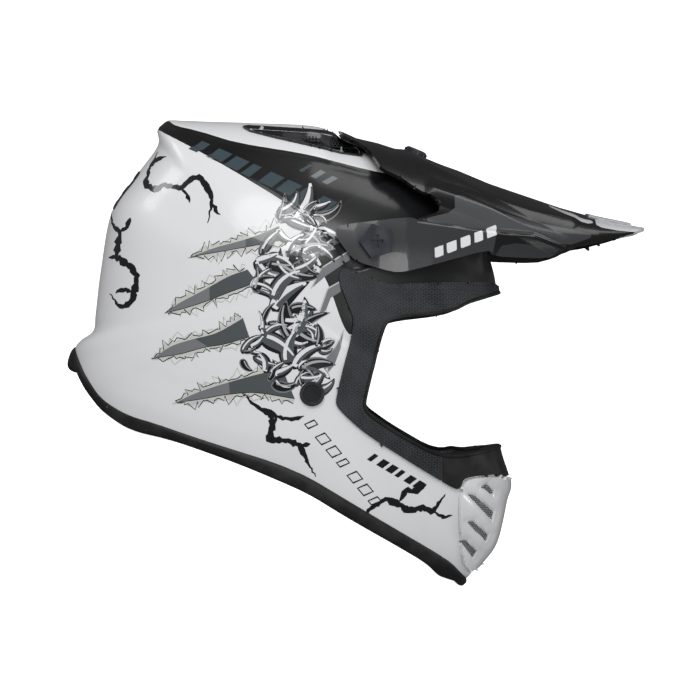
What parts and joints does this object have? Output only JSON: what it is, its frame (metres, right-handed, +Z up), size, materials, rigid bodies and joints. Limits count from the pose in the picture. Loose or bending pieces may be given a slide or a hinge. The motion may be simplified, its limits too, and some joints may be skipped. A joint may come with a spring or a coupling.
{
  "type": "motocross helmet",
  "caption": "Full-face off-road motorcycle helmet with an open eye port, a vented chin bar and a long peak that tilts on two side screws.",
  "frame": {"origin": "on the table under the middle of the helmet's footprint box, as it stands on its neck roll", "axes": "+X forward towards the chin bar, +Y to the wearer's left, +Z up from the table"},
  "size_m": [0.3725, 0.2542, 0.3037],
  "materials": {
    "shell_paint": "gloss",
    "foam": "matte",
    "lining": "matte",
    "trim": "satin",
    "guard": "matte",
    "roll": "satin",
    "cover": "gloss",
    "mesh": "satin",
    "vent": "satin",
    "peak": "satin",
    "lip": "satin",
    "bush": "satin",
    "screw": "satin",
    "insert": "satin",
    "steel": "satin",
    "cap": "satin",
    "webbing": "matte",
    "stud": "matte"
  },
  "bodies": {
    "shell": {"shell": "shell_paint", "eps_liner": "foam", "comfort_liner": "lining", "neck_pad": "lining", "cheek_core_r": "foam", "cheek_core_l": "foam", "cheek_pad_r": "lining", "cheek_pad_l": "lining", "chin_eps": "foam", "chin_lining": "lining", "eyeport_trim": "trim", "nose_guard": "guard", "neck_roll": "roll", "chin_vent": "cover", "chin_mesh": "mesh", "top_vent_r": "vent", "top_vent_l": "vent", "top_mesh_r": "mesh", "top_mesh_l": "mesh", "rear_vent": "vent", "side_nut_r": "insert", "side_nut_l": "insert", "top_nut": "insert", "rivet_r": "steel", "rivet_l": "steel", "rivet_cap_r": "cap", "rivet_cap_l": "cap", "rivet_washer_r": "steel", "rivet_washer_l": "steel", "pad_studs_r": "stud", "pad_studs_l": "stud", "liner_snaps": "stud"},
    "peak": {"peak": "peak", "peak_lip": "lip", "side_bush_r": "bush", "side_bush_l": "bush"},
    "side_screw_r": {"side_screw_r": "screw"},
    "side_screw_l": {"side_screw_l": "screw"},
    "top_screw": {"top_screw": "screw"},
    "chin_strap": {"strap_plate_r": "steel", "strap_plate_l": "steel", "strap_long": "webbing", "strap_short": "webbing", "d_ring_upper": "steel", "d_ring_lower": "steel", "strap_snap": "steel", "strap_sleeve": "lining"}
  },
  "joints": [
    {"name": "peak_tilt", "type": "hinge", "parent": "shell", "child": "peak", "pos_m": [0.00632, 0, 0.20515], "axis": [0, 1, 0], "range_deg": [0, 10]},
    {"name": "side_screw_r_turn", "type": "hinge", "parent": "shell", "child": "side_screw_r", "pos_m": [0.00632, 0, 0.20515], "axis": [0, -1, 0], "continuous": true},
    {"name": "side_screw_l_turn", "type": "hinge", "parent": "shell", "child": "side_screw_l", "pos_m": [0.00632, 0, 0.20515], "axis": [0, 1, 0], "continuous": true},
    {"name": "top_screw_turn", "type": "hinge", "parent": "shell", "child": "top_screw", "pos_m": [0.00331, 0, 0.27158], "axis": [-0.0454, 0, 0.999], "continuous": true},
    {"name": "chin_strap_swing", "type": "hinge", "parent": "shell", "child": "chin_strap", "pos_m": [0.01158, 0, 0.08425], "axis": [0, 1, 0], "range_deg": [-15, 15]}
  ]
}
